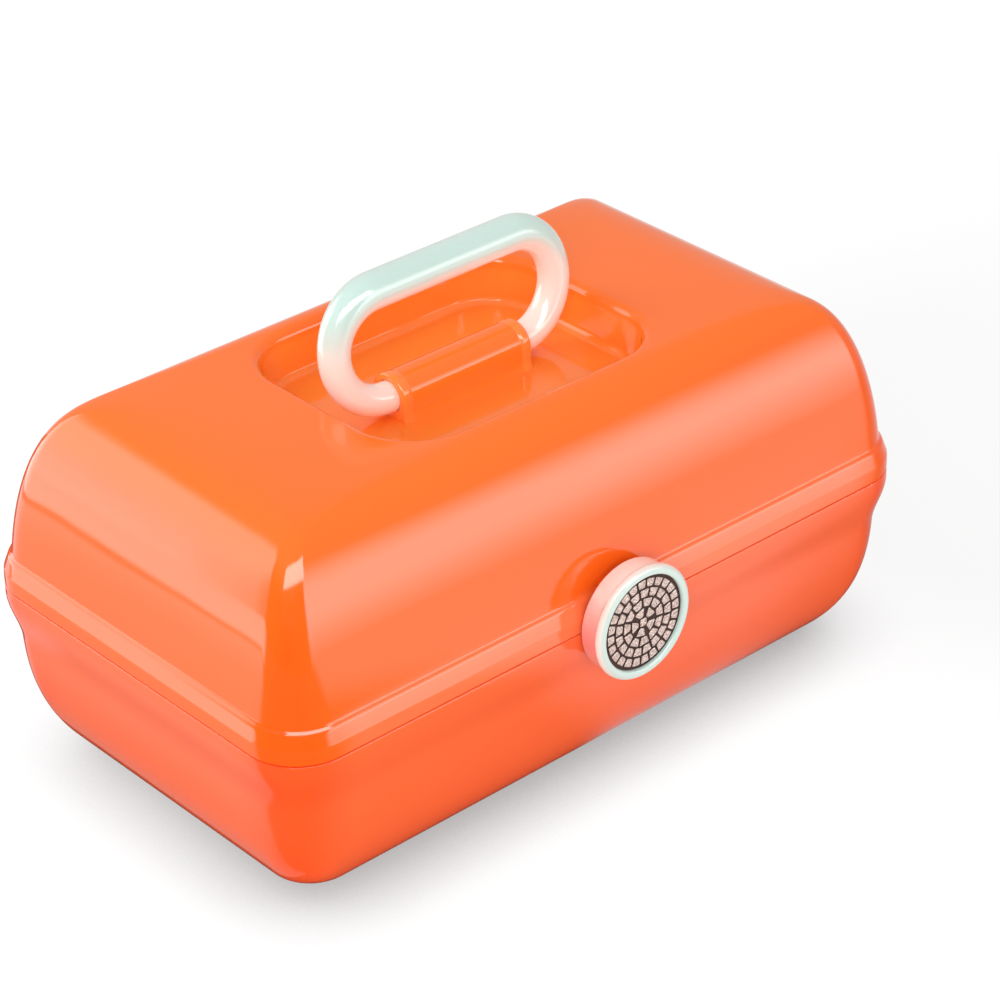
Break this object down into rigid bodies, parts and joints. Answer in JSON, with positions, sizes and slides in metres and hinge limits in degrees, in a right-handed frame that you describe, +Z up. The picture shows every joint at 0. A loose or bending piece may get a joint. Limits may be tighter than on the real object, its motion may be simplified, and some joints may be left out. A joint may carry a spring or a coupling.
{
  "type": "makeup storage case",
  "caption": "Domed hinged-lid makeup case with a folding loop handle in a lid recess, a round flip latch set with stones, a mirror and a self-lifting tray.",
  "frame": {"origin": "centre of the flat sole, on the surface the case stands on", "axes": "+X along the length of the case, -Y towards the latch at the front, +Y towards the hinges, +Z up towards the handle"},
  "size_m": [0.24, 0.1577, 0.1464],
  "materials": {
    "coral_shell": "glossy moulded coral-orange plastic",
    "clear_orange": "glossy, slightly translucent orange plastic",
    "bracket": "moulded orange plastic",
    "pearl": "pearlescent white plastic with a mint and pink sheen",
    "dark_disc": "dark brown backing",
    "stones": "glittering pale pink faceted stones",
    "tray": "satin white moulded plastic",
    "frame": "satin white moulded plastic",
    "mirror": "silvered glass",
    "steel": "bright steel pins, rivets and screws",
    "steel_arm": "pressed steel strip"
  },
  "bodies": {
    "base": {"base_shell": "coral_shell", "hinge_pin_left": "steel", "hinge_pin_right": "steel", "arm_base_rivets": "steel"},
    "lid": {"lid_shell": "clear_orange", "lid_bracket_left": "bracket", "lid_bracket_right": "bracket", "mirror_frame": "frame", "mirror_glass": "mirror", "mirror_screws": "steel", "latch_pin": "steel", "tray_rivets": "steel"},
    "latch": {"latch_body": "pearl", "bezel_ring": "pearl", "jewel_disc": "dark_disc", "crystals": "stones"},
    "handle": {"handle": "pearl"},
    "tray": {"tray": "tray", "arm_tray_rivets": "steel"},
    "arm_left": {"link_arm_left": "steel_arm"},
    "arm_right": {"link_arm_right": "steel_arm"}
  },
  "joints": [
    {"name": "lid_hinge", "type": "hinge", "parent": "base", "child": "lid", "pos_m": [0, 0.0743, 0.05815], "axis": [-1, 0, 0], "range_deg": [0, 95]},
    {"name": "tray_pivot", "type": "hinge", "parent": "lid", "child": "tray", "pos_m": [0, 0.008, 0.068], "axis": [-1, 0, 0], "range_deg": [-95, 0]},
    {"name": "arm_left_pivot", "type": "hinge", "parent": "base", "child": "arm_left", "pos_m": [-0.1097, 0.0263, 0.05015], "axis": [-1, 0, 0], "range_deg": [0, 95]},
    {"name": "arm_right_pivot", "type": "hinge", "parent": "base", "child": "arm_right", "pos_m": [0.1097, 0.0263, 0.05015], "axis": [-1, 0, 0], "range_deg": [0, 95]},
    {"name": "latch_flip", "type": "hinge", "parent": "lid", "child": "latch", "pos_m": [0, -0.0738, 0.0675], "axis": [-1, 0, 0], "range_deg": [0, 28]},
    {"name": "handle_fold", "type": "hinge", "parent": "lid", "child": "handle", "pos_m": [0, 0, 0.1085], "axis": [1, 0, 0], "range_deg": [-73, 89]}
  ],
  "couplings": [
    {"joint": "tray_pivot", "follows": "lid_hinge", "ratio": -1},
    {"joint": "arm_left_pivot", "follows": "lid_hinge", "ratio": 1},
    {"joint": "arm_right_pivot", "follows": "lid_hinge", "ratio": 1}
  ]
}
